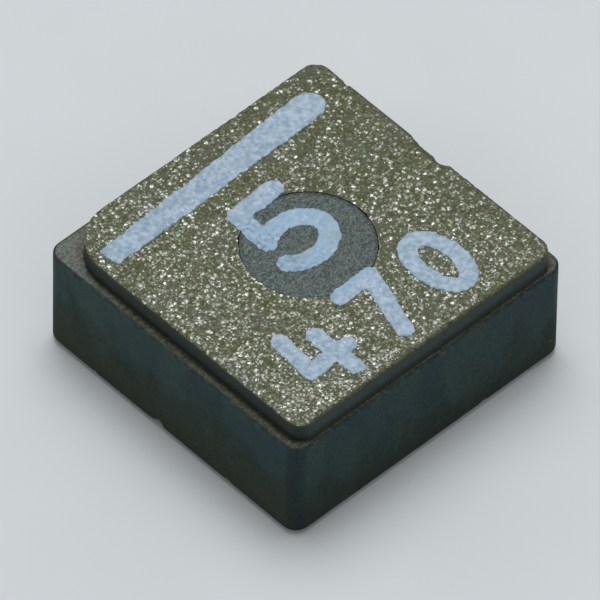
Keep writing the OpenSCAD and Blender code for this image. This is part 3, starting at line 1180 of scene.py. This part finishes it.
# %% Finish of the post
def ground_core():
    """Fine dark grey-green powder with faint scratches, and painted shade inside its edge."""
    finish = Finish("ground_core")
    x, y, z = finish.axes()
    x = x - CORE_MID[0]
    y = y - CORE_MID[1]
    cells = finish.cells(0.028)
    pick, shade, tint = finish.parts(cells)
    specks = pick.rise(0.72, 0.95) * (1 - cells.out("Distance").rise(0.15, 0.6)) * shade
    scratches = finish.noise(1.0, 2.0, finish.turned(7, (1.4, 48, 1))).rise(0.56, 0.72)
    scratches = scratches * finish.noise(0.45).rise(0.45, 0.60)
    mottle = finish.noise(0.035, 4.0).rise(0.28, 0.72)
    powder, hue, _ = finish.parts(finish.cells(0.018, 0.9))
    grey = finish.mix(hue, (0.150, 0.168, 0.146, 1), (0.104, 0.178, 0.178, 1))
    base = finish.mix(0.3 * mottle + 0.7 * powder.rise(0.05, 0.95), (0.006, 0.014, 0.013, 1), grey)
    brown = finish.noise(0.11, 3.0).rise(0.50, 0.72)
    base = finish.mix(0.5 * brown, base, (0.085, 0.082, 0.066, 1))
    # painted shade: a darker band just inside the post's edge, fading out toward its -X -Y side
    rim = (x * x + y * y).rise((POST_R - 0.06) ** 2, (POST_R - 0.01) ** 2)
    rim = rim * (x + y).rise(-0.9, 0.5) * z.rise(SHOULDER_Z, TOP_Z - 0.01)
    base = finish.mix(0.70 * rim, base, (0.010, 0.016, 0.014, 1))
    pale = finish.mix(tint, (0.36, 0.34, 0.31, 1), (0.32, 0.40, 0.38, 1))
    marks = (0.65 * specks).larger(0.30 * scratches)
    finish.surface({
        "Base Color": finish.mix(marks, base, pale),
        "Metallic": 0.5 * marks,
        "Roughness": 0.58 - 0.10 * scratches,
        "Specular IOR Level": 0.35,
        "Normal": finish.bump(0.003 * mottle - 0.002 * scratches,
                              finish.tilted(cells, 0.10)),
    })


ground_core()

# %% [markdown]
# ## The pressed skin
#
# Against the die the powder packs into a smooth dark skin, blue-green where the oxide
# is thick. Lower down it turns brown and olive in clouds, and where an edge is rubbed
# it goes brown. The height of a place and two noises of different size mix the tints.
# Painted shade darkens the skin toward the floor, most on the -Y side, and the crown's
# wall toward its foot.

# %% Finish of the sides and the crown's wall
def pressed_skin():
    """Dark blue-green, clouded brown toward the foot, with a browner crown wall, and painted shade
    near the floor and at the crown wall's foot.
    """
    finish = Finish("pressed_skin")
    x, y, z = finish.axes()
    low = 1 - z.rise(0.0, SHOULDER_Z)
    left = 1 - x.rise(BODY_LOW[0] + 0.02, BODY_LOW[0] + 0.10)
    front = 1 - y.rise(BODY_LOW[1] + 0.02, BODY_LOW[1] + 0.10)
    clouds = finish.noise(0.45, 4.0)
    streaks = finish.noise(1.0, 3.0, finish.turned(0, (2.6, 2.6, 0.9)))
    colour = finish.mix(streaks.rise(0.35, 0.65), (0.0100, 0.0370, 0.0430, 1),
                        (0.0200, 0.0530, 0.0480, 1))
    brown = (clouds + 0.50 * low + 0.08 * left - 0.06 * front).rise(0.62, 0.98)
    colour = finish.mix(0.75 * brown, colour, (0.022, 0.035, 0.022, 1))
    rough = (finish.noise(0.09, 4.0) + 0.25 * low + 0.10 * left).rise(0.66, 0.80)
    colour = finish.mix(0.6 * rough * low, colour, (0.044, 0.043, 0.020, 1))

    wall = z.rise(SHOULDER_Z, SHOULDER_Z + 0.02)
    up = (z + 0.10 * (finish.noise(0.10, 4.0) - 0.5)).rise(SHOULDER_Z + 0.01, SHOULDER_Z + 0.16)
    wall_colour = finish.mix(front, (0.022, 0.036, 0.035, 1), (0.048, 0.082, 0.078, 1))
    # painted shade: the crown's wall darkens toward its foot at the groove, little on the -Y side
    wall_colour = finish.mix(up.larger(0.8 * front), (0.014, 0.014, 0.008, 1), wall_colour)
    worn = (z + 0.10 * (finish.noise(0.05, 4.0) - 0.5)).rise(TOP_Z - 0.08, TOP_Z - 0.01)
    dusty = finish.noise(0.055, 4.0).rise(0.46, 0.68)
    wall_colour = finish.mix(0.55 * dusty, wall_colour, (0.030, 0.031, 0.014, 1))
    wall_colour = finish.mix(0.8 * worn, wall_colour, (0.058, 0.058, 0.026, 1))
    colour = finish.mix(wall, colour, wall_colour)

    rim = z.rise(SHOULDER_Z - 0.12, SHOULDER_Z - 0.01) * (1 - wall)
    rubbed = rim * finish.noise(0.07, 4.0).rise(0.40, 0.66)
    colour = finish.mix(0.60 * rubbed, colour, (0.082, 0.080, 0.058, 1))
    cells = finish.cells(0.045)
    pick, shade, _ = finish.parts(cells)
    often = 0.14 * rim.larger(wall)
    speck = (pick + often).rise(0.88, 0.95) * (1 - cells.out("Distance").rise(0.10, 0.40)) * shade
    speck = speck * (0.20 + 0.5 * brown + 0.4 * rough + 0.3 * rim)
    colour = finish.mix(speck, colour, (0.18, 0.17, 0.09, 1))

    corner = (abs(x) + abs(y)).rise(BODY_HIGH[0] + BODY_HIGH[1] - 0.19,
                                    BODY_HIGH[0] + BODY_HIGH[1] - 0.13)
    colour = finish.mix(0.45 * corner * (1 - wall), colour, (0.006, 0.018, 0.030, 1))
    mottle = finish.noise(0.045, 3.0).rise(0.25, 0.75)
    # painted shade: the skin darkens toward the floor, more on the -Y side and most at the very foot
    floor_shade = (1 - z.rise(0.0, 0.45)) * 0.30
    floor_shade = floor_shade.larger(0.50 * front * (1 - z.rise(0.0, 0.80)))
    floor_shade = floor_shade.larger(0.65 * (1 - z.rise(FOOT_Z, FOOT_Z + 0.12)))
    # dark mixes random mottle, the skin's own tone, with painted shade: extra on the -Y side, and the
    # floor shade
    dark = ((0.40 + 0.25 * front) * mottle * (1 - 0.6 * wall)).larger(floor_shade)
    fine = finish.noise(0.03, 3.0)
    finish.surface({
        "Base Color": finish.mix(dark, colour, (0.003, 0.009, 0.011, 1)),
        "Roughness": 0.50 + 0.18 * brown + 0.10 * fine,
        "Specular IOR Level": 0.17,
        "Normal": finish.bump((0.0015 + 0.003 * brown.larger(wall)) * fine
                              + 0.003 * finish.noise(0.16, 2.0)),
    })


pressed_skin()

# %% [markdown]
# ## The shoulder
#
# The step round the crown was left by the die's edge. It is matt and grey-brown with
# yellow and rust-coloured specks. Its narrow strips are painted darker as shade from the
# crown, and a dark, ragged line of painted shade lies in the groove at the foot of the
# crown. That line follows from how far a place lies from the crown's edges.

# %% Finish of the shoulder
def shoulder_face():
    """Matt grey-brown, painted darker as shade in the narrow strips, with a painted shadow line along
    the crown's foot.
    """
    finish = Finish("shoulder_face")
    x, y, _ = finish.axes()
    away = away_from_crown(finish)
    ragged = finish.noise(0.07, 4.0)
    front = 1 - y.rise(BODY_LOW[1] + 0.10, BODY_LOW[1] + 0.20)
    # painted shade: a dark ragged line in the groove at the crown's foot
    groove_shade = 1 - (away + 0.07 * (ragged - 0.5) + 0.010 * front).rise(-0.010, 0.036)
    grain = finish.noise(0.035, 4.0)
    step = (abs(x) - BODY_HIGH[0]).larger(abs(y) - BODY_HIGH[1])
    out = (step + 0.05 * (finish.noise(0.05, 4.0) - 0.5)).rise(-0.045, -0.005)
    # painted light and shade: the narrow strips get a darker copy of the finish as shade from the
    # crown, and the wide key corner a lighter, lit copy
    at_key = (y - x).rise(2.7, 3.4)
    shaded_strip = finish.mix(grain.rise(0.3, 0.7), (0.042, 0.043, 0.030, 1), (0.135, 0.127, 0.084, 1))
    lit_corner = finish.mix(grain.rise(0.3, 0.7), (0.080, 0.086, 0.072, 1), (0.180, 0.192, 0.172, 1))
    colour = finish.mix(at_key, shaded_strip, lit_corner)
    colour = finish.mix(0.7 * finish.noise(0.10, 3.0).rise(0.55, 0.68), colour,
                        (0.095, 0.085, 0.036, 1))
    colour = finish.mix(0.70 * out, colour, (0.026, 0.042, 0.038, 1))
    # paint the groove's shade
    colour = finish.mix(0.92 * groove_shade, colour, (0.012, 0.010, 0.006, 1))
    cells = finish.cells(0.03)
    pick, shade, _ = finish.parts(cells)
    speck = pick.rise(0.84, 0.92) * shade * (1 - cells.out("Distance").rise(0.15, 0.5))
    finish.surface({
        "Base Color": finish.mix(0.7 * speck * (1 - groove_shade), colour, (0.30, 0.28, 0.12, 1)),
        "Roughness": 0.74 - 0.12 * speck,
        "Specular IOR Level": 0.3,
        "Normal": finish.bump(0.006 * grain),
    })


shoulder_face()

# %% [markdown]
# ## Ink, plating, copper and solder
#
# The ink is a pale blue-white that lies unevenly over the grains: it is thinner in
# small spots, where the ground face shows through as grey, and it has a few scratches
# and tiny pale specks of painted glint.
# The plating is matt tin. The coil's wire and the solder lie inside, but they have
# finishes too, because the part may be opened up or shown in section.

# %% Finish of the ink
def print_ink():
    """Pale blue-white, mottled and a little worn, with tiny painted glints."""
    finish = Finish("print_ink")
    x, y, _ = finish.axes()
    x = x - CORE_MID[0]
    y = y - CORE_MID[1]
    mottle = finish.noise(0.06, 4.0)
    broad = finish.noise(0.30, 2.0)
    colour = finish.mix(mottle.rise(0.30, 0.70), (0.235, 0.345, 0.450, 1),
                        (0.430, 0.535, 0.650, 1))
    over_post = 1 - (x * x + y * y).rise((POST_R - 0.05) ** 2, (POST_R + 0.10) ** 2)
    colour = finish.mix(0.5 * over_post, colour, (0.270, 0.440, 0.610, 1))
    colour = finish.mix(0.5 * broad.rise(0.50, 0.75), colour, (0.250, 0.325, 0.350, 1))
    cells = finish.cells(0.045)
    pick, shade, _ = finish.parts(cells)
    thin = pick.rise(0.80, 0.90) * (1 - cells.out("Distance").rise(0.10, 0.45))
    cuts = finish.noise(1.0, 2.0, finish.turned(38, (2.5, 40, 1))).rise(0.66, 0.72)
    cuts = cuts * finish.noise(0.35).rise(0.52, 0.60)
    bare = (0.55 * thin * shade).larger(0.6 * cuts)
    colour = finish.mix(bare, colour, (0.13, 0.17, 0.18, 1))
    scuffed = over_post.larger(0.35) * (1 - x.rise(-0.45, 0.05))
    scuffed = scuffed * finish.noise(0.055, 4.0).rise(0.50, 0.66)
    colour = finish.mix(0.75 * scuffed, colour, (0.115, 0.190, 0.290, 1))
    # painted glints: tiny pale specks in the ink's colour
    edge_crumbs_and_glint_cells = finish.cells(0.030)
    glint_pick, _, _ = finish.parts(edge_crumbs_and_glint_cells)
    painted_glint = glint_pick.rise(0.93, 0.97) * (1 - edge_crumbs_and_glint_cells.out("Distance").rise(0.15, 0.50))
    finish.surface({
        "Base Color": finish.mix(0.7 * painted_glint, colour, (0.74, 0.82, 0.88, 1)),
        "Roughness": 0.52 + 0.15 * mottle,
        "Specular IOR Level": 0.4,
        "Normal": finish.bump(0.004 * mottle + 0.003 * finish.noise(0.025, 2.0)),
    })


print_ink()


# %% Finishes of the metal pieces
def matt_metal(name, dark, pale, roughness, grain, coat=0.0):
    """A metal whose colour and roughness vary with its grain."""
    finish = Finish(name)
    fine = finish.noise(grain, 4.0)
    broad = finish.noise(8 * grain, 2.0).rise(0.35, 0.65)
    finish.surface({
        "Base Color": finish.mix(0.5 * fine + 0.5 * broad, dark, pale),
        "Metallic": 1.0,
        "Roughness": roughness + 0.18 * (fine - 0.5) + 0.08 * broad,
        "Coat Weight": coat,
        "Coat Roughness": 0.12,
        "Normal": finish.bump(0.05 * grain * fine),
    })


matt_metal("tin_plating", (0.46, 0.45, 0.42, 1), (0.68, 0.67, 0.63, 1), 0.38, 0.02)
matt_metal("enamelled_copper", (0.55, 0.20, 0.08, 1), (0.80, 0.36, 0.17, 1), 0.28, 0.03, 0.6)
matt_metal("solder_alloy", (0.42, 0.42, 0.41, 1), (0.62, 0.62, 0.60, 1), 0.30, 0.03)

CAD_FINISHES = {
    "winding": "enamelled_copper",
    "solder_start": "solder_alloy",
    "solder_finish": "solder_alloy",
}
for node, finish_name in CAD_FINISHES.items():
    piece = frame["nodes"][node]
    for material_slot in piece.material_slots:
        material_slot.material = material_called(finish_name)
    print(f"{node}: {len(piece.material_slots)} slot(s) in {finish_name}")

# %% [markdown]
# ## The stage
#
# A pale floor, a pale world and one soft box. The world gives about half of the light
# from all round, and the box the rest from above and a little behind, so both near
# sides lie in shade, as on a bench under a lamp. The box's power follows from how much
# of the light it should give at its distance, so moving it changes the shadows and the
# glints, and not the brightness.

# %% Floor and world
FLOOR_COLOUR = (0.66, 0.70, 0.72, 1)
FLOOR_SIZE = 1000
WORLD_LIGHT = 0.45


def make_floor():
    """A large pale sheet under the part."""
    half = FLOOR_SIZE / 2
    corners = [(-half, -half, 0), (half, -half, 0), (half, half, 0), (-half, half, 0)]
    floor = new_piece("floor", corners, [(0, 1, 2, 3)], ["floor_paper"])
    finish = Finish("floor_paper")
    tone = finish.noise(3.0, 3.0).rise(0.3, 0.7)
    paler = tuple(min(1, 1.03 * part) for part in FLOOR_COLOUR)
    finish.surface({
        "Base Color": finish.mix(tone, FLOOR_COLOUR, paler),
        "Roughness": 0.9,
        "Specular IOR Level": 0.1,
    })
    floor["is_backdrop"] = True


def make_world():
    """Even light from all round, which looks pale to the eye and in reflections."""
    world = bpy.data.worlds.new("pale_room")
    bpy.context.scene.world = world
    world.use_nodes = True
    tree = world.node_tree
    tree.nodes.clear()
    light = tree.nodes.new("ShaderNodeBackground")
    light.inputs["Color"].default_value = (1, 1, 1, 1)
    light.inputs["Strength"].default_value = WORLD_LIGHT
    seen = tree.nodes.new("ShaderNodeBackground")
    seen.inputs["Color"].default_value = FLOOR_COLOUR
    seen.inputs["Strength"].default_value = 1
    path = tree.nodes.new("ShaderNodeLightPath")
    share = None
    for ray in ("Is Camera Ray", "Is Glossy Ray", "Is Transmission Ray"):
        if share is None:
            share = path.outputs[ray]
            continue
        either = tree.nodes.new("ShaderNodeMath")
        either.operation = "MAXIMUM"
        tree.links.new(share, either.inputs[0])
        tree.links.new(path.outputs[ray], either.inputs[1])
        share = either.outputs[0]
    mix = tree.nodes.new("ShaderNodeMixShader")
    tree.links.new(share, mix.inputs[0])
    tree.links.new(light.outputs[0], mix.inputs[1])
    tree.links.new(seen.outputs[0], mix.inputs[2])
    end = tree.nodes.new("ShaderNodeOutputWorld")
    tree.links.new(mix.outputs[0], end.inputs["Surface"])


make_floor()
make_world()
print("floor and world are in place")

# %% The soft box
KEY_LIGHT = 0.55
KEY_AZIMUTH = 140
KEY_ELEVATION = 74
KEY_DISTANCE = 300
KEY_SIZE = 190


def toward(azimuth, elevation):
    """The direction of a place seen from the part. Azimuth 0 is -Y and 90 is +X."""
    a, e = math.radians(azimuth), math.radians(elevation)
    return Vector((math.sin(a) * math.cos(e), -math.cos(a) * math.cos(e), math.sin(e)))


def make_key():
    """A square soft box that gives KEY_LIGHT of the light on level surfaces."""
    lamp = bpy.data.lights.new("soft_box", "AREA")
    lamp.shape = "SQUARE"
    lamp.size = KEY_SIZE * MM
    slope = math.sin(math.radians(KEY_ELEVATION))
    lamp.energy = math.pi ** 2 * KEY_LIGHT * (KEY_DISTANCE * MM) ** 2 / slope
    box = bpy.data.objects.new("soft_box", lamp)
    bpy.context.scene.collection.objects.link(box)
    direction = toward(KEY_AZIMUTH, KEY_ELEVATION)
    box.location = direction * KEY_DISTANCE * MM
    box.rotation_mode = "QUATERNION"
    box.rotation_quaternion = (-direction).to_track_quat("-Z", "Y")
    print(f"soft box of {lamp.energy:.3f} W")


make_key()

# %% [markdown]
# ## The camera
#
# A close-up of a part this small is taken from far off with a long lens, so that its
# parallel edges stay nearly parallel. The camera looks down at one corner, with the
# horizon rolled a little.

# %% Place the camera
CAMERA_AZIMUTH = -44.09
CAMERA_ELEVATION = 49.20
CAMERA_ROLL = 1.05
CAMERA_DISTANCE = 200
CAMERA_AIM = (-0.138, -0.061, 0.9)
CAMERA_LENS = 1056


def make_camera():
    """The camera that looks at the part's front corner from above."""
    data = bpy.data.cameras.new("camera")
    data.lens = CAMERA_LENS
    data.sensor_width = 36
    data.clip_start = 0.01
    camera = bpy.data.objects.new("camera", data)
    bpy.context.scene.collection.objects.link(camera)
    direction = toward(CAMERA_AZIMUTH, CAMERA_ELEVATION)
    camera.location = (Vector(CAMERA_AIM) + direction * CAMERA_DISTANCE) * MM
    camera.rotation_mode = "QUATERNION"
    level = (-direction).to_track_quat("-Z", "Y")
    camera.rotation_quaternion = level @ Quaternion((0, 0, 1), math.radians(CAMERA_ROLL))
    bpy.context.scene.camera = camera
    bpy.context.scene.view_settings.view_transform = "Standard"


make_camera()

# %% Write the sizes and finish
boxes = {"cad": cad_box, "visual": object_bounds()}
for name, (low, high) in boxes.items():
    print(name, [round(v / MM, 4) for v in low], [round(v / MM, 4) for v in high])
